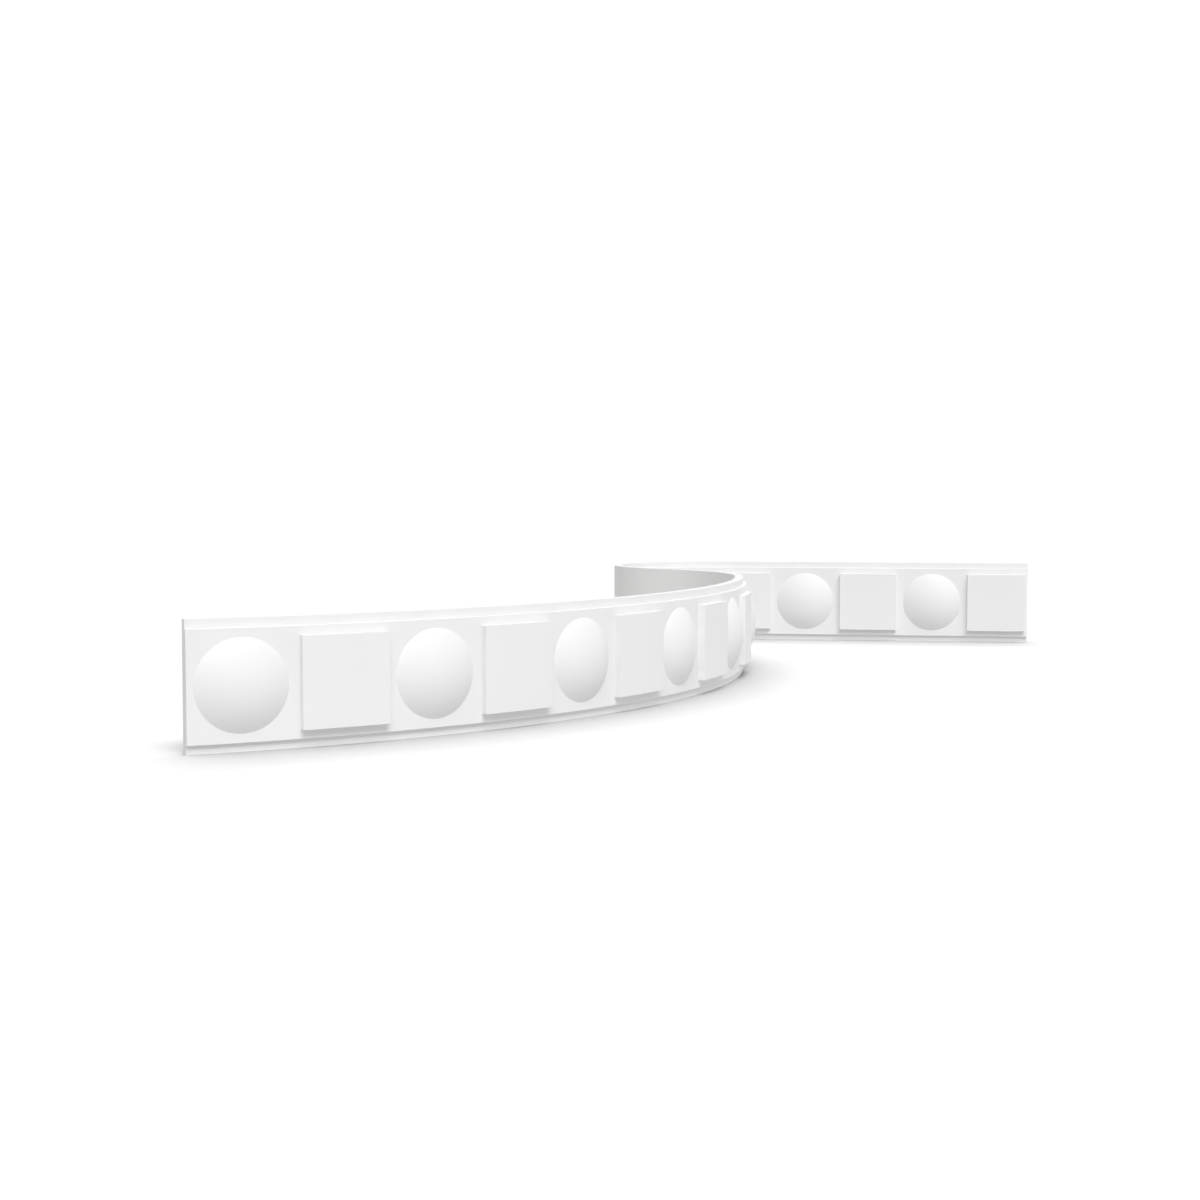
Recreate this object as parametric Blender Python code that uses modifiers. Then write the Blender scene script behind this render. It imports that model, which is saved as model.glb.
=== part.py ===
"""A flexible dado rail: a stepped strip with domes and square blocks in turn along it,
cast in one piece and bent to a wall that swells out, turns in and runs on straight.

The rail is modelled straight, face towards -Y, and then bent in plan. In plan the bend is a
graph of curvature along the back face. The straight stretch at the right end keeps its back
face square to +Y, and the rail stands on its lower edge with its origin below its middle.
"""
import math

import bmesh
import bpy
import numpy as np

# The strip, in metres
LENGTH = 2.0
REPEATS = 11
PITCH = LENGTH / REPEATS
HEIGHT = 0.1136
BASE_DEPTH = 0.0099
FIELD_DEPTH = 0.0137
FIELD_MARGIN = 0.0082

# The ornament: each repeat holds one dome and then one block
ORNAMENT_HEIGHT = HEIGHT / 2
DOME_DIAMETER = 0.0816
DOME_RISE = 0.0122
DOME_PLACE = 0.0466
BLOCK_SIDE = 0.0810
BLOCK_RISE = 0.0070
BLOCK_PLACE = DOME_PLACE + PITCH / 2
EMBED = 0.0020

# The plan: radii at the back face, and where along it each bend begins and ends
FRONT_RADIUS = 0.884
NECK_RADIUS = 0.221
HOLLOW_RADIUS = 0.138
FRONT_END = 0.949
NECK_START, NECK_END = 0.989, 1.129
HOLLOW_START, HOLLOW_END = 1.251, 1.520
STRAIGHT_START = 1.600

# Fineness of the facets
CUTS_PER_PITCH = 12
DOME_STEPS = 28
DOME_RINGS = 5
PLAN_STEPS = 8000

WHITE = (0.84, 0.84, 0.83, 1.0)
ROUGHNESS = 0.55


def clear_scene():
    """Take every object out of the scene."""
    for thing in list(bpy.data.objects):
        bpy.data.objects.remove(thing, do_unlink=True)


def new_collection(name):
    """Make a collection in the scene."""
    group = bpy.data.collections.new(name)
    bpy.context.scene.collection.children.link(group)
    return group


def move_to(thing, group):
    """Put an object in one collection only."""
    for old in list(thing.users_collection):
        old.objects.unlink(thing)
    group.objects.link(thing)


def white_coat():
    """The primed white surface of the casting."""
    material = bpy.data.materials.new("white_primer")
    material.use_nodes = True
    shader = material.node_tree.nodes["Principled BSDF"]
    shader.inputs["Base Color"].default_value = WHITE
    shader.inputs["Roughness"].default_value = ROUGHNESS
    shader.inputs["Metallic"].default_value = 0.0
    return material


def evaluated_mesh(thing):
    """The mesh of an object with its modifiers applied."""
    depsgraph = bpy.context.evaluated_depsgraph_get()
    depsgraph.update()
    return bpy.data.meshes.new_from_object(thing.evaluated_get(depsgraph))


def cut_across(mesh):
    """Cut a straight piece across at even steps, so that it can be bent."""
    shape = bmesh.new()
    shape.from_mesh(mesh)
    cuts = REPEATS * CUTS_PER_PITCH
    low = min(vertex.co.x for vertex in shape.verts)
    high = max(vertex.co.x for vertex in shape.verts)
    for step in range(1, cuts):
        place = LENGTH * step / cuts
        if low < place < high:
            everything = shape.verts[:] + shape.edges[:] + shape.faces[:]
            bmesh.ops.bisect_plane(shape, geom=everything, dist=1e-6,
                                   plane_co=(place, 0, 0), plane_no=(1, 0, 0))
    shape.to_mesh(mesh)
    shape.free()


def strip_section():
    """Outline of the strip across its length: (depth from the wall, height) corners."""
    low = FIELD_MARGIN
    high = HEIGHT - FIELD_MARGIN
    return [(0, 0), (BASE_DEPTH, 0), (BASE_DEPTH, low), (FIELD_DEPTH, low),
            (FIELD_DEPTH, high), (BASE_DEPTH, high), (BASE_DEPTH, HEIGHT), (0, HEIGHT)]


def make_strip():
    """The straight strip: its section as a flat outline, drawn out along the length."""
    outline = bpy.data.curves.new("strip_section", "CURVE")
    outline.dimensions = "2D"
    outline.fill_mode = "BOTH"
    outline.extrude = LENGTH / 2
    corners = strip_section()
    spline = outline.splines.new("POLY")
    spline.points.add(len(corners) - 1)
    for point, (depth, height) in zip(spline.points, corners):
        point.co = (-depth, height, 0, 1)
    spline.use_cyclic_u = True
    drawn = bpy.data.objects.new("strip_section", outline)
    bpy.context.scene.collection.objects.link(drawn)
    mesh = evaluated_mesh(drawn)
    bpy.data.objects.remove(drawn, do_unlink=True)

    # The outline lies in its own X and Y and is drawn out along Z: turn it so that Z runs
    # along the rail, the outline's X is the depth and its Y is the height
    spots = np.empty(len(mesh.vertices) * 3, dtype=np.float32)
    mesh.vertices.foreach_get("co", spots)
    spots = spots.reshape(-1, 3)[:, (2, 0, 1)] + np.array([LENGTH / 2, 0, 0])
    mesh.vertices.foreach_set("co", spots.astype(np.float32).ravel())
    shape = bmesh.new()
    shape.from_mesh(mesh)
    bmesh.ops.remove_doubles(shape, verts=shape.verts, dist=1e-5)
    bmesh.ops.recalc_face_normals(shape, faces=shape.faces)
    shape.to_mesh(mesh)
    shape.free()
    cut_across(mesh)
    strip = bpy.data.objects.new("straight_strip", mesh)
    bpy.context.scene.collection.objects.link(strip)
    return strip


def make_dome(name, place, group):
    """A shallow spherical cap, turned about its own axis, with a short stub in the strip."""
    half = DOME_DIAMETER / 2
    sphere = (half ** 2 + DOME_RISE ** 2) / (2 * DOME_RISE)
    reach = math.asin(half / sphere)
    profile = [(sphere * math.sin(reach * ring / DOME_RINGS),
                sphere * math.cos(reach * ring / DOME_RINGS) - sphere + DOME_RISE)
               for ring in range(DOME_RINGS + 1)]
    profile += [(half, -EMBED), (0, -EMBED)]
    mesh = bpy.data.meshes.new(name)
    mesh.from_pydata([(out, 0, up) for out, up in profile],
                     [(spot, spot + 1) for spot in range(len(profile) - 1)], [])
    dome = bpy.data.objects.new(name, mesh)
    group.objects.link(dome)
    turn = dome.modifiers.new("turn", "SCREW")
    turn.steps = DOME_STEPS
    turn.render_steps = DOME_STEPS
    turn.use_merge_vertices = True
    turn.merge_threshold = 0.00001
    dome.location = (place, -FIELD_DEPTH, ORNAMENT_HEIGHT)
    dome.rotation_euler = (math.pi / 2, 0, 0)
    dome.hide_render = True
    dome.display_type = "WIRE"


def make_block(name, place, group):
    """A flat square block, with its foot in the strip, cut across as the strip is."""
    depth = BLOCK_RISE + EMBED
    bpy.ops.mesh.primitive_cube_add(size=1)
    block = bpy.context.object
    block.name = name
    block.scale = (BLOCK_SIDE, depth, BLOCK_SIDE)
    block.location = (place, -FIELD_DEPTH + EMBED - depth / 2, ORNAMENT_HEIGHT)
    bpy.ops.object.transform_apply(location=True, rotation=False, scale=True)
    cut_across(block.data)
    move_to(block, group)
    block.hide_render = True
    block.display_type = "WIRE"


def plan_of_bend():
    """Where the back face runs in plan: distances along it, headings, X and Y.

    The curvature is a graph with straight lines between its corners. The heading is its
    running sum, nought at the right end, and the place is the running sum of the heading's
    cosine and sine.
    """
    corners = (0, FRONT_END, NECK_START, NECK_END, HOLLOW_START, HOLLOW_END,
               STRAIGHT_START, LENGTH)
    front, neck, hollow = 1 / FRONT_RADIUS, 1 / NECK_RADIUS, -1 / HOLLOW_RADIUS
    bends = (front, front, neck, neck, hollow, hollow, 0, 0)
    along = np.linspace(0, LENGTH, PLAN_STEPS + 1)
    step = LENGTH / PLAN_STEPS

    def running_sum(rates):
        return np.concatenate([[0], np.cumsum((rates[1:] + rates[:-1]) / 2 * step)])

    heading = running_sum(np.interp(along, corners, bends))
    heading -= heading[-1]
    return along, heading, running_sum(np.cos(heading)), running_sum(np.sin(heading))


def bend(mesh):
    """Bend a straight mesh to the plan, then stand its box's middle over the origin."""
    spots = np.empty(len(mesh.vertices) * 3, dtype=np.float32)
    mesh.vertices.foreach_get("co", spots)
    spots = spots.reshape(-1, 3).astype(float)
    along, heading, plan_x, plan_y = plan_of_bend()
    turn = np.interp(spots[:, 0], along, heading)
    depth = -spots[:, 1]
    bent = np.column_stack([
        np.interp(spots[:, 0], along, plan_x) + depth * np.sin(turn),
        np.interp(spots[:, 0], along, plan_y) - depth * np.cos(turn),
        spots[:, 2]])
    bent[:, :2] -= (bent[:, :2].min(axis=0) + bent[:, :2].max(axis=0)) / 2
    mesh.vertices.foreach_set("co", bent.astype(np.float32).ravel())
    mesh.update()


def main():
    clear_scene()
    rail_group = new_collection("flexible_dado_rail")
    ornament = new_collection("ornament_shapes")
    for number in range(REPEATS):
        make_dome(f"dome_{number + 1}", PITCH * number + DOME_PLACE, ornament)
        make_block(f"block_{number + 1}", PITCH * number + BLOCK_PLACE, ornament)

    strip = make_strip()
    union = strip.modifiers.new("ornament", "BOOLEAN")
    union.operation = "UNION"
    union.solver = "EXACT"
    union.operand_type = "COLLECTION"
    union.collection = ornament
    mesh = evaluated_mesh(strip)
    bpy.data.objects.remove(strip, do_unlink=True)

    bend(mesh)
    mesh.name = "dado_rail"
    mesh.materials.clear()
    mesh.materials.append(white_coat())
    mesh.shade_smooth()
    mesh.set_sharp_from_angle(angle=math.radians(30))
    rail = bpy.data.objects.new("dado_rail", mesh)
    rail_group.objects.link(rail)


main()
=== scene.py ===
"""A flexible dado rail, cast in white and primed, standing on its lower edge.

The rail is worked out straight, as a closed skin of numpy surfaces, with x along it, its depth
off the wall and its height. The skin is welded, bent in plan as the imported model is, and takes
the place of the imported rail.
"""
import math

import bmesh
import bpy
import numpy as np
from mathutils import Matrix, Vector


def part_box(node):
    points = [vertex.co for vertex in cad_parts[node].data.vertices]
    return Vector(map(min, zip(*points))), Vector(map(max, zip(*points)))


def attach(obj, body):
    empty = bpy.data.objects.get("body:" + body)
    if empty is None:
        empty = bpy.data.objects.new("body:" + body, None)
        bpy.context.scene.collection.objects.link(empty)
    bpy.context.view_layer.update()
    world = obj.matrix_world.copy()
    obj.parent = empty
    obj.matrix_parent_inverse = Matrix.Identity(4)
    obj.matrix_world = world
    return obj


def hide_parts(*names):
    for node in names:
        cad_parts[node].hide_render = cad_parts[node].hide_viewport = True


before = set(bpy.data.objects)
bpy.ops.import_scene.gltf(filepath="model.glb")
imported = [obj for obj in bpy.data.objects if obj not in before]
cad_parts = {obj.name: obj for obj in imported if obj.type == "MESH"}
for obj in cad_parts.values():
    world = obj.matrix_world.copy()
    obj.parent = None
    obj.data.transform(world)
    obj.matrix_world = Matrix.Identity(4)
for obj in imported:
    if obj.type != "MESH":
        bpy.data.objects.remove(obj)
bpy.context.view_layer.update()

# The strip, in metres
LENGTH = 2.0
REPEATS = 11
PITCH = LENGTH / REPEATS
HEIGHT = 0.1136
BASE_DEPTH = 0.0099
FIELD_DEPTH = 0.0137
FIELD_MARGIN = 0.0082

# The ornament: each repeat holds one dome and then one block
MIDDLE = HEIGHT / 2
DOME_RADIUS = 0.0408
DOME_RISE = 0.0122
DOME_PLACE = 0.0466
BLOCK_HALF = 0.0405
BLOCK_RISE = 0.0070
BLOCK_PLACE = DOME_PLACE + PITCH / 2

# Small rounds that the mould and the primer leave on the corners, and how far in from its side
# a block's front starts to be flat
ARRIS = 0.00025
BACK_ARRIS = 0.0002
HOLLOW_CORNER = 0.0002
BLOCK_CORNER = 0.0003
DOME_FOOT = 0.0004
CUT_EDGE = 0.00025
BLOCK_RIM = 5 * ARRIS

# The plan: radii at the back face, and where along it each bend begins and ends
FRONT_RADIUS = 0.884
NECK_RADIUS = 0.221
HOLLOW_RADIUS = 0.138
FRONT_END = 0.949
NECK_START, NECK_END = 0.989, 1.129
HOLLOW_START, HOLLOW_END = 1.251, 1.520
STRAIGHT_START = 1.600

# Fineness of the skin
SIDE = 24
CORNER_SHARE = 3
ROUND_STEPS = 4
CAP_RINGS = 16
BACK_STRIPS = 6
PLAN_STEPS = 8000
WELD = 1e-6

# The patterns of the finish: scale, detail, and any stretch along the rail, in depth and height
PATTERNS = {
    "mottle": (18.0, 3.0, None),
    "grain": (950.0, 2.0, None),
    "swell": (30.0, 1.0, None),
    "planed": (1.0, 4.0, (9.0, 400.0, 650.0)),
    "sawn": (1.0, 3.0, (60.0, 900.0, 70.0)),
}

# The finish. Each pair of colours is mixed by a pattern; the shares say how much of the bare
# white shows; the heights are in metres, and the fades are how deep a face gives way to the next
PRIMED = ((0.845, 0.845, 0.845, 1.0), (0.872, 0.872, 0.872, 1.0))
BARE = ((0.830, 0.828, 0.818, 1.0), (0.870, 0.869, 0.862, 1.0))
BACK_BARE, CUT_BARE = 0.85, 0.35
ROUGH, CLOUD_ROUGH, GRAIN_ROUGH, BACK_ROUGH, CUT_ROUGH = 0.50, 0.10, 0.05, 0.18, 0.14
SPECULAR = 0.35
SWELL_HIGH, GRAIN_HIGH, PLANED_HIGH, SAWN_HIGH = 0.00012, 0.00001, 0.00016, 0.00009
BACK_FADE = (0.00005, 0.00035)
CUT_FADE = (0.00003, 0.0002)

# The floor: half its width, its greys in the painted shadow at the rail's foot and in the open,
# and how far from the rail the painted shadow reaches
FLOOR_REACH = 60.0
PAINTED_SHADOW_AND_FLOOR_GREYS = ((0.25, 0.25, 0.25, 1.0), (0.98, 0.98, 0.98, 1.0))
FOOT_SHADOW = 0.10


# Shapes


def unit(vectors):
    """Each row divided by its own length."""
    return vectors / np.linalg.norm(vectors, axis=-1, keepdims=True)


def rounded_path(corners, radii, steps=ROUND_STEPS):
    """A path in a plane with each inner corner turned on an arc.

    u runs into a corner p and v runs out of it, a is the angle between them and r the radius.
    The arc's middle is c = p + (v - u) r / sin a, and its points for t from 0 to 1 are
    c - r ((v - u cos a) sin((1 - t) a) + (v cos a - u) sin(t a)) / sin a squared.
    """
    corners = np.array(corners, float)
    legs = unit(np.diff(corners, axis=0))
    into, out = legs[:-1, None], legs[1:, None]
    cosine = (into * out).sum(axis=2, keepdims=True)
    turn = np.arccos(cosine)
    radius = np.array(radii, float)[:, None, None]
    share = np.linspace(0, 1, steps + 1)[None, :, None]
    middle = corners[1:-1, None] + (out - into) * radius / np.sin(turn)
    reach = ((out - into * cosine) * np.sin((1 - share) * turn)
             + (out * cosine - into) * np.sin(share * turn))
    return (middle - radius * reach / np.sin(turn) ** 2).reshape(-1, 2)


def strip_path():
    """The strip's section from the upper edge of its raised field, round the back, to the lower.

    Rows are (depth, height): the eight corners of the stepped section, each turned on an arc,
    with the tall back cut into even strips.
    """
    low, high = FIELD_MARGIN, HEIGHT - FIELD_MARGIN
    corners = [(FIELD_DEPTH, MIDDLE), (FIELD_DEPTH, high), (BASE_DEPTH, high),
               (BASE_DEPTH, HEIGHT), (0, HEIGHT), (0, 0), (BASE_DEPTH, 0), (BASE_DEPTH, low),
               (FIELD_DEPTH, low), (FIELD_DEPTH, MIDDLE)]
    radii = [ARRIS, HOLLOW_CORNER, ARRIS, BACK_ARRIS, BACK_ARRIS, ARRIS, HOLLOW_CORNER, ARRIS]
    path = rounded_path(corners, radii)
    half = len(path) // 2
    back = np.linspace(path[half - 1], path[half], BACK_STRIPS + 1)[1:-1]
    return np.concatenate([path[:half], back, path[half:]])


def borders():
    """Where the cells of the ornament meet along the rail: midway between each pair."""
    places = (DOME_PLACE + BLOCK_PLACE + DOME_RADIUS - BLOCK_HALF) / 2
    first = places + PITCH * np.arange(REPEATS)
    second = first[:-1] + PITCH / 2 + BLOCK_HALF - DOME_RADIUS
    inner = np.sort(np.concatenate([first, second]))
    return np.concatenate([[CUT_EDGE], inner, [LENGTH - CUT_EDGE]])


def round_the_corner(sides):
    """Four sides of a ring, each a quarter turn on from the last, without doubled corners.

    sides is (rings, points, 2) for the lower side; the others are (-z, x), (-x, -z), (z, -x).
    """
    x, z = sides[:, :-1, 0], sides[:, :-1, 1]
    return np.concatenate([np.stack(pair, axis=2) for pair in
                           ((x, z), (-z, x), (-x, -z), (z, -x))], axis=1)


def square_rings(halves, rounds):
    """Rings of a square with rounded corners, as (rings, points, 2) round its middle.

    On the lower side a point is ((h - r) s + r (sin b - sin a), -(h - r) - r cos(a + b)), with
    h the half side, r the corner's radius, s from -1 to 1 along the straight, and a and b
    falling from 45 degrees to 0 over the first few points and rising over the last few.
    """
    half, bow = np.array(halves, float)[:, None], np.array(rounds, float)[:, None]
    step = np.arange(SIDE + 1)[None, :]
    straight = SIDE - 2 * CORNER_SHARE
    s = np.clip((step - CORNER_SHARE) / straight, 0, 1) * 2 - 1
    a = math.pi / 4 * np.clip(1 - step / CORNER_SHARE, 0, 1)
    b = math.pi / 4 * np.clip((step - SIDE) / CORNER_SHARE + 1, 0, 1)
    x = (half - bow) * s + bow * (np.sin(b) - np.sin(a))
    z = -(half - bow) - bow * np.cos(a + b)
    return round_the_corner(np.stack([x, z], axis=2))


def round_rings(radii):
    """Rings of a circle, as (rings, points, 2): r (cos a, sin a), a from the lower left corner."""
    angle = math.radians(-135) + 2 * math.pi * np.arange(4 * SIDE) / (4 * SIDE)
    circle = np.column_stack([np.cos(angle), np.sin(angle)])
    return np.array(radii, float)[:, None, None] * circle[None]


def cell_frames(left, right, middle):
    """The border of each cell as even steps round its four straight sides, about its middle."""
    low, high = FIELD_MARGIN + ARRIS, HEIGHT - FIELD_MARGIN - ARRIS
    along = np.arange(SIDE) / SIDE
    nought, one = np.zeros(SIDE), np.ones(SIDE)
    over = np.concatenate([along, one, 1 - along, nought])
    up = np.concatenate([nought, along, one, 1 - along])
    x = left[:, None] + (right - left)[:, None] * over[None] - middle[:, None]
    z = low + (high - low) * up - MIDDLE
    return np.stack([x, np.broadcast_to(z, x.shape)], axis=2)


def rings_in_cells(edges, flat, rise, middle):
    """Rings carried from each cell's border in to its ornament and over it.

    Between the border e and the ornament's first ring f the rings are e + (f - e) t, with t a
    third and two thirds. The result is (cells, rings, points, 3): along, depth, height.
    """
    cells = len(middle)
    shape = np.broadcast_to(flat[None], (cells,) + flat.shape)
    share = np.array([0, 1 / 3, 2 / 3])[None, :, None, None]
    outer = edges[:, None] + (shape[:, :1] - edges[:, None]) * share
    spread = np.concatenate([outer, shape], axis=1)
    lift = np.concatenate([np.zeros(3), rise])
    depth = FIELD_DEPTH + np.broadcast_to(lift[None, :, None], spread.shape[:3])
    return np.stack([spread[..., 0] + middle[:, None, None], depth,
                     spread[..., 1] + MIDDLE], axis=3)


def dome_cells(left, right, middle):
    """A shallow cap in each cell, on a small round where it meets the field.

    The cap is part of a sphere of radius R = (r r + h h) / 2h, for a foot of radius r and a
    rise of h: its rings are R sin a out and R cos a - R + h up, with a going down to 0.
    """
    ball = (DOME_RADIUS ** 2 + DOME_RISE ** 2) / (2 * DOME_RISE)
    lean = math.asin(DOME_RADIUS / ball)
    foot = rounded_path([(2 * DOME_RADIUS, 0), (DOME_RADIUS, 0),
                         (DOME_RADIUS - math.cos(lean), math.sin(lean))], [DOME_FOOT])
    start = math.asin(foot[-1, 0] / ball)
    angle = np.linspace(start, 0, CAP_RINGS + 1)[1:]
    out = np.concatenate([foot[:, 0], ball * np.sin(angle)])
    up = np.concatenate([foot[:, 1], ball * np.cos(angle) - ball + DOME_RISE])
    return rings_in_cells(cell_frames(left, right, middle), round_rings(out), up, middle)


def block_cells(left, right, middle):
    """A flat square block in each cell: a step up with a round at its foot and its edge.

    The step's section is a path of (way in from the side, rise), and a ring at a way in of w
    has a half side of h - w and a corner radius of c - w, never under nought.
    """
    step = rounded_path([(-BLOCK_RIM, 0), (0, 0), (0, BLOCK_RISE), (BLOCK_RIM, BLOCK_RISE)],
                        [HOLLOW_CORNER, ARRIS])
    step = np.concatenate([step, [(BLOCK_RIM, BLOCK_RISE)]])
    flat = square_rings(BLOCK_HALF - step[:, 0], np.clip(BLOCK_CORNER - step[:, 0], 0, None))
    even = (BLOCK_HALF - BLOCK_RIM) * (np.arange(SIDE + 1) / SIDE * 2 - 1)
    last = np.column_stack([even, np.full(SIDE + 1, even[0])])
    flat[-1] = round_the_corner(last[None])[0]
    return rings_in_cells(cell_frames(left, right, middle), flat, step[:, 1], middle)


def block_fronts(middle):
    """The flat front inside each block's last ring: an even square grid, one for each block."""
    even = (BLOCK_HALF - BLOCK_RIM) * (np.arange(SIDE + 1) / SIDE * 2 - 1)
    x, z = np.meshgrid(even, even + MIDDLE, indexing="ij")
    x = middle[:, None, None] + x[None]
    return np.stack([x, np.full_like(x, FIELD_DEPTH + BLOCK_RISE),
                     np.broadcast_to(z, x.shape)], axis=3)


def cut_ends(path):
    """A ring round each cut end, drawn in by the small round of its edge.

    The closed section's points p have outward normals n. For t from 0 to 90 degrees a ring is
    at e - e sin t from the end, and its points are p - n e (1 - cos t).
    """
    field = np.linspace(path[-1], path[0], SIDE + 1)[1:-1]
    loop = np.concatenate([path, field])
    back, ahead = unit(loop - np.roll(loop, 1, axis=0)), unit(np.roll(loop, -1, axis=0) - loop)
    way = unit(back + ahead)
    outward = np.column_stack([way[:, 1], -way[:, 0]])
    turn = np.linspace(0, math.pi / 2, 3)[:, None]
    drawn = loop[None] - outward[None] * (CUT_EDGE * (1 - np.cos(turn)))[..., None]
    from_end = np.broadcast_to(CUT_EDGE * (1 - np.sin(turn)), drawn.shape[:2])
    near = np.concatenate([from_end[..., None], drawn], axis=2)
    far = np.concatenate([LENGTH - from_end[..., None], drawn], axis=2)
    return np.stack([near, far])


def grid_faces(patches, closed=False):
    """Vertices and four-sided faces of equal grids, (patches, rows, columns, 3) each."""
    count, rows, columns = patches.shape[:3]
    number = np.arange(count * rows * columns).reshape(count, rows, columns)
    across = np.roll(number, -1, axis=2) if closed else number[:, :, 1:]
    here = number if closed else number[:, :, :-1]
    faces = np.stack([here[:, :-1], across[:, :-1], across[:, 1:], here[:, 1:]], axis=3)
    return patches.reshape(-1, 3), faces.reshape(-1, 4)


def joined(parts):
    """Several pairs of vertices and faces as one pair."""
    starts = np.cumsum([0] + [len(spots) for spots, _ in parts[:-1]])
    return (np.concatenate([spots for spots, _ in parts]),
            np.concatenate([faces + start for (_, faces), start in zip(parts, starts)]))


def straight_skin():
    """The whole skin of the straight rail: along, depth, height of each vertex, and faces."""
    edges = borders()
    number = np.arange(REPEATS)
    domes, blocks = DOME_PLACE + PITCH * number, BLOCK_PLACE + PITCH * number
    path = strip_path()
    share = np.arange(SIDE) / SIDE
    steps = (edges[:-1, None] + np.diff(edges)[:, None] * share).ravel()
    steps = np.append(steps, edges[-1])
    wrap = np.empty((1, len(steps), len(path), 3))
    wrap[0, :, :, 0] = steps[:, None]
    wrap[0, :, :, 1:] = path[None]
    return joined([
        grid_faces(wrap),
        grid_faces(dome_cells(edges[:-1:2], edges[1::2], domes), closed=True),
        grid_faces(block_cells(edges[1:-1:2], edges[2::2], blocks), closed=True),
        grid_faces(block_fronts(blocks)),
        grid_faces(cut_ends(path), closed=True)])


def plan_of_bend():
    """Where the back face runs in plan: distances along it, headings, X and Y.

    The curvature is a graph with straight lines between its corners. The heading is its
    running sum, nought at the right end, and the place is the running sum of the heading's
    cosine and sine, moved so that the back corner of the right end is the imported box's corner.
    """
    corners = (0, FRONT_END, NECK_START, NECK_END, HOLLOW_START, HOLLOW_END,
               STRAIGHT_START, LENGTH)
    front, neck, hollow = 1 / FRONT_RADIUS, 1 / NECK_RADIUS, -1 / HOLLOW_RADIUS
    bends = (front, front, neck, neck, hollow, hollow, 0, 0)
    along = np.linspace(0, LENGTH, PLAN_STEPS + 1)
    step = LENGTH / PLAN_STEPS

    def running_sum(rates):
        return np.concatenate([[0], np.cumsum((rates[1:] + rates[:-1]) / 2 * step)])

    heading = running_sum(np.interp(along, corners, bends))
    heading -= heading[-1]
    x, y = running_sum(np.cos(heading)), running_sum(np.sin(heading))
    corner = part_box("dado_rail")[1]
    return along, heading, x + corner.x - x[-1], y + corner.y - y[-1]


def bent(straight):
    """Straight places bent to the plan: plan(s) + depth (sin a, -cos a), a being the heading."""
    along, heading, plan_x, plan_y = plan_of_bend()
    s, depth, height = straight.T
    turn = np.interp(s, along, heading)
    return np.column_stack([np.interp(s, along, plan_x) + depth * np.sin(turn),
                            np.interp(s, along, plan_y) - depth * np.cos(turn), height])


def cast_rail():
    """The rail as one closed mesh, bent, that keeps its straight places as an attribute."""
    spots, faces = straight_skin()
    mesh = bpy.data.meshes.new("cast_rail")
    mesh.from_pydata(spots, [], faces)
    shape = bmesh.new()
    shape.from_mesh(mesh)
    bmesh.ops.remove_doubles(shape, verts=shape.verts, dist=WELD)
    open_edges = [edge for edge in shape.edges if edge.is_boundary]
    caps = bmesh.ops.holes_fill(shape, edges=open_edges, sides=0)["faces"]
    bmesh.ops.poke(shape, faces=caps)
    bmesh.ops.recalc_face_normals(shape, faces=shape.faces)
    shape.to_mesh(mesh)
    shape.free()
    straight = np.empty(len(mesh.vertices) * 3, dtype=np.float32)
    mesh.vertices.foreach_get("co", straight)
    kept = mesh.attributes.new("straight_place", "FLOAT_VECTOR", "POINT")
    kept.data.foreach_set("vector", straight)
    places = bent(straight.reshape(-1, 3).astype(float))
    mesh.vertices.foreach_set("co", places.astype(np.float32).ravel())

    # Depth runs to +Y in the straight skin and to -Y in the bent one, which mirrors it
    mesh.flip_normals()
    mesh.shade_smooth()
    mesh.update()
    rail = bpy.data.objects.new("cast_rail", mesh)
    bpy.context.scene.collection.objects.link(rail)
    even = rail.modifiers.new("even_faces", "WEIGHTED_NORMAL")
    even.mode = "FACE_AREA"
    even.weight = 50
    return rail


# Finishes


class Value:
    """A socket that can be used in sums: each sum adds the Math node that works it out."""

    def __init__(self, tree, socket):
        self.tree = tree
        self.socket = socket

    def sum_with(self, operation, *others):
        node = self.tree.nodes.new("ShaderNodeMath")
        node.operation = operation
        for place, part in enumerate(others):
            if isinstance(part, Value):
                self.tree.links.new(part.socket, node.inputs[place])
            else:
                node.inputs[place].default_value = part
        return Value(self.tree, node.outputs[0])

    def __add__(self, other):
        return self.sum_with("ADD", self, other)

    __radd__ = __add__

    def __sub__(self, other):
        return self.sum_with("SUBTRACT", self, other)

    def __rsub__(self, other):
        return self.sum_with("SUBTRACT", other, self)

    def __mul__(self, other):
        return self.sum_with("MULTIPLY", self, other)

    __rmul__ = __mul__

    def __rpow__(self, other):
        return self.sum_with("POWER", other, self)


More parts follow.
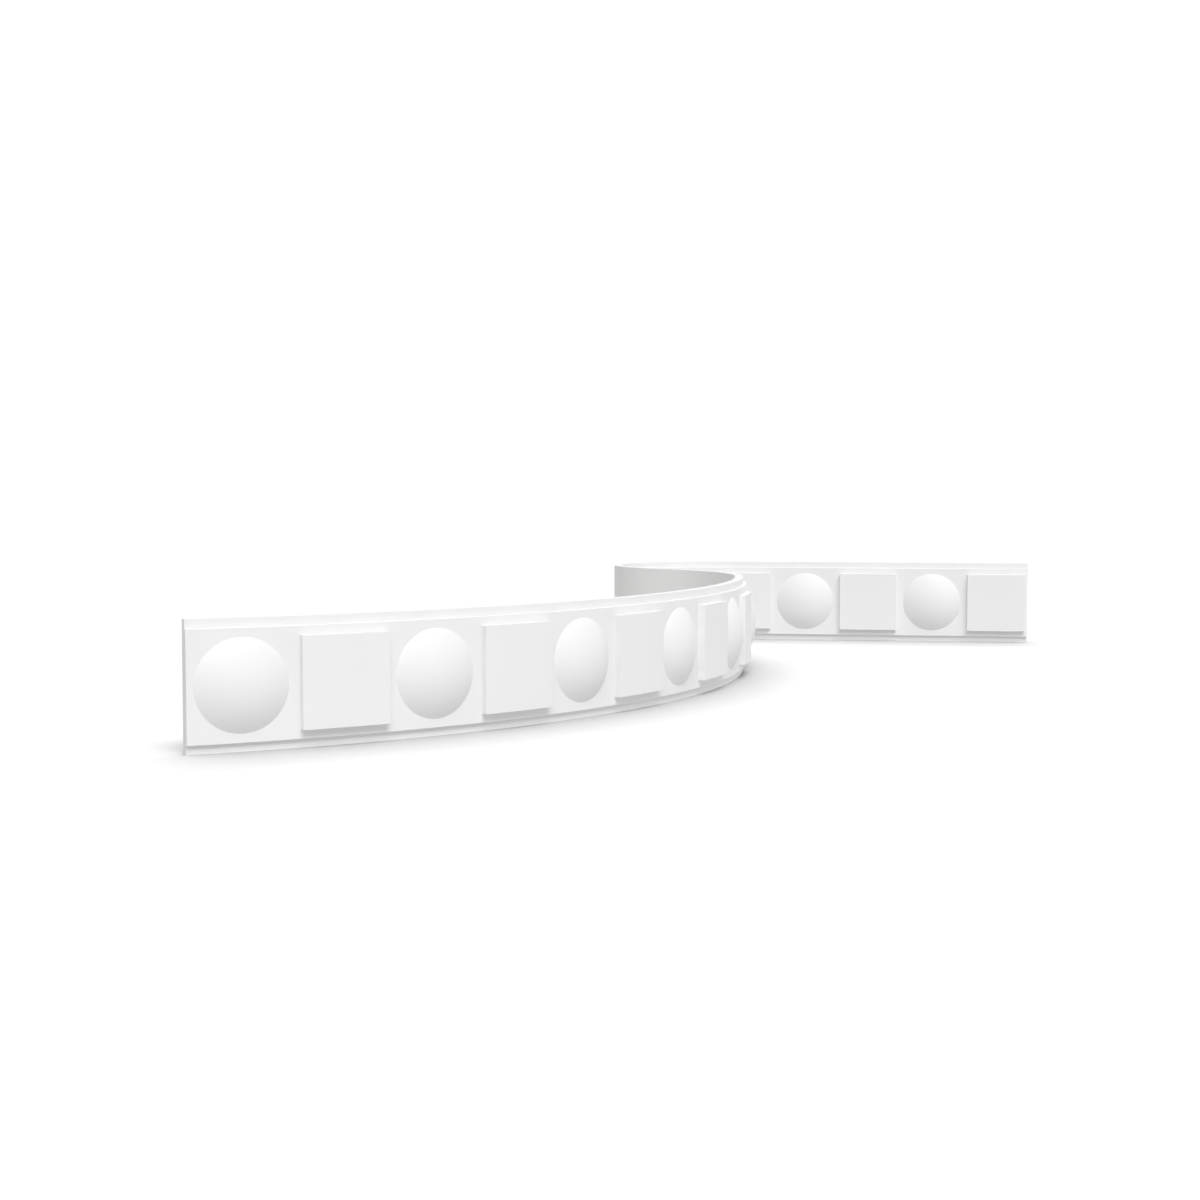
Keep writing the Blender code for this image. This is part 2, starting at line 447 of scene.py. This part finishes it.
class Tree:
    """A node tree that is filled one node at a time."""

    def __init__(self, owner):
        owner.use_nodes = True
        self.tree = owner.node_tree
        self.tree.nodes.clear()

    def add(self, kind, settings=None, values=None, output=0):
        """Make a node, set its settings and then its sockets, and give one of its outputs."""
        node = self.tree.nodes.new(kind)
        for name, setting in (settings or {}).items():
            setattr(node, name, setting)
        for name, value in (values or {}).items():
            if isinstance(value, Value):
                self.tree.links.new(value.socket, node.inputs[name])
            else:
                node.inputs[name].default_value = value
        return Value(self.tree, node.outputs[output]) if len(node.outputs) else node

    def mix(self, factor, colours):
        """The first colour where the factor is 0 and the second where it is 1."""
        return self.add("ShaderNodeMix", {"data_type": "RGBA"},
                        {"Factor": factor, "A": colours[0], "B": colours[1]}, 2)

    def step(self, value, low, high):
        """A smooth step from 0 at low to 1 at high."""
        return self.add("ShaderNodeMapRange", {"interpolation_type": "SMOOTHSTEP"},
                        {"Value": value, "From Min": low, "From Max": high}, "Result")

    def clouds(self, place, scale, detail, stretch):
        """Soft noise about a half, on places that may be stretched along their axes."""
        if stretch:
            place = self.add("ShaderNodeVectorMath", {"operation": "MULTIPLY"},
                             {0: place, 1: stretch})
        return self.add("ShaderNodeTexNoise", {},
                        {"Vector": place, "Scale": scale, "Detail": detail}, "Fac")


def primed_white():
    """White primer on a smooth casting: a fine stipple, soft clouds of tone, a planed back and
    faint saw lines on the two cut ends."""
    material = bpy.data.materials.new("white_primer")
    tree = Tree(material)
    place = tree.add("ShaderNodeAttribute", {"attribute_name": "straight_place"}, {}, "Vector")
    axes = tree.add("ShaderNodeSeparateXYZ", {}, {"Vector": place})
    split = axes.socket.node
    along, depth = Value(tree.tree, split.outputs["X"]), Value(tree.tree, split.outputs["Y"])

    back = 1 - tree.step(depth, *BACK_FADE)
    cut = 1 - tree.step(along, *CUT_FADE) * tree.step(LENGTH - along, *CUT_FADE)

    mottle, grain, swell, planed, sawn = (
        tree.clouds(place, *pattern) for pattern in PATTERNS.values())

    bareness = back * BACK_BARE + cut * CUT_BARE
    colour = tree.mix(bareness, (tree.mix(mottle, PRIMED), tree.mix(planed, BARE)))
    rough = ((ROUGH + CLOUD_ROUGH * mottle + GRAIN_ROUGH * grain)
             + (back * BACK_ROUGH + cut * CUT_ROUGH))

    height = (swell * SWELL_HIGH + grain * GRAIN_HIGH * (1 - back) * (1 - cut)
              + planed * back * PLANED_HIGH + sawn * cut * SAWN_HIGH)
    relief = tree.add("ShaderNodeBump", {}, {"Height": height, "Distance": 1.0,
                                             "Strength": 1.0}, "Normal")
    shader = tree.add("ShaderNodeBsdfPrincipled", {},
                      {"Base Color": colour, "Roughness": rough, "Metallic": 0.0,
                       "Specular IOR Level": SPECULAR, "Normal": relief})
    tree.add("ShaderNodeOutputMaterial", {}, {"Surface": shader})
    return material


def pale_ground():
    """The plain pale floor: without gloss, and with a painted shadow that greys it close to the
    foot of the rail.
    """
    material = bpy.data.materials.new("pale_floor")
    tree = Tree(material)
    # Painted shadow: the floor's colour goes darker grey where ambient occlusion finds the rail
    # close by
    openness = tree.add("ShaderNodeAmbientOcclusion", {"samples": 8},
                        {"Distance": FOOT_SHADOW}, "AO")
    shader = tree.add("ShaderNodeBsdfDiffuse", {}, {"Color": tree.mix(openness, PAINTED_SHADOW_AND_FLOOR_GREYS)})
    tree.add("ShaderNodeOutputMaterial", {}, {"Surface": shader})
    return material


def lay_floor():
    """A wide flat floor under the rail."""
    reach = FLOOR_REACH
    mesh = bpy.data.meshes.new("floor")
    mesh.from_pydata([(-reach, -reach, 0), (reach, -reach, 0), (reach, reach, 0),
                      (-reach, reach, 0)], [], [(0, 1, 2, 3)])
    floor = bpy.data.objects.new("floor", mesh)
    bpy.context.scene.collection.objects.link(floor)
    mesh.materials.append(pale_ground())
    floor.visible_diffuse = False
    floor.visible_shadow = False


# Light and camera

CAMERA_PLACE = (0.19916, -2.12146, 0.22284)
CAMERA_TURN = 8.92
CAMERA_DIP = 3.4385
CAMERA_LENS = 56.415
SENSOR = 36.0


def set_camera():
    """The camera, level from side to side, turned and dipped as the picture was taken."""
    lens = bpy.data.cameras.new("camera")
    lens.sensor_width = SENSOR
    lens.lens = CAMERA_LENS
    camera = bpy.data.objects.new("camera", lens)
    camera.location = CAMERA_PLACE
    camera.rotation_euler = (math.radians(90 - CAMERA_DIP), 0, math.radians(CAMERA_TURN))
    bpy.context.scene.collection.objects.link(camera)
    bpy.context.scene.camera = camera


# Each glow: degrees to the right of the camera, degrees up, brightness, tightness
GLOWS = {
    "main": (25, 54, 12.0, 40.0),
    "front": (-5, 38, 5.5, 40.0),
    "left": (-60, 10, 0.58, 4.0),
    "right": (80, 10, 0.76, 4.0),
    "behind": (180, 15, 1.85, 4.0),
}
LOW_LIGHT = 0.47
HORIZON_FADE = 0.1
BACKDROP = 1.1
WHITE = (1.0, 1.0, 1.0, 1.0)


def soft_light():
    """A soft main light from the upper right, weaker ones round the object, and a plain backdrop.

    A glow is b e^(k (c - 1)), with b its brightness, c the cosine of the angle off its middle
    and k its tightness. Below the horizon an even low light stands for a pale floor.
    """
    world = bpy.data.worlds.new("soft_light")
    bpy.context.scene.world = world
    tree = Tree(world)
    way = tree.add("ShaderNodeTexCoord", {}, {}, "Generated")

    def facing(middle):
        return tree.add("ShaderNodeVectorMath", {"operation": "DOT_PRODUCT"},
                        {0: way, 1: middle}, "Value")

    strength = LOW_LIGHT * tree.step(facing((0, 0, -1)), -HORIZON_FADE, HORIZON_FADE)
    for turn, rise, bright, tightness in GLOWS.values():
        turn, rise = math.radians(CAMERA_TURN + turn), math.radians(rise)
        middle = (math.sin(turn) * math.cos(rise), -math.cos(turn) * math.cos(rise),
                  math.sin(rise))
        strength = strength + bright * math.e ** (tightness * (facing(middle) - 1))
    lit = tree.add("ShaderNodeBackground", {}, {"Color": WHITE, "Strength": strength})
    plain = tree.add("ShaderNodeBackground", {}, {"Color": WHITE, "Strength": BACKDROP})
    seen = tree.add("ShaderNodeLightPath", {}, {}, "Is Camera Ray")
    both = tree.add("ShaderNodeMixShader", {}, {0: seen, 1: lit, 2: plain})
    tree.add("ShaderNodeOutputWorld", {}, {"Surface": both})
    bpy.context.scene.view_settings.view_transform = "Standard"


set_camera()
rail = cast_rail()
rail.data.materials.append(primed_white())
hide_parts("dado_rail")
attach(rail, "root")
lay_floor()
soft_light()
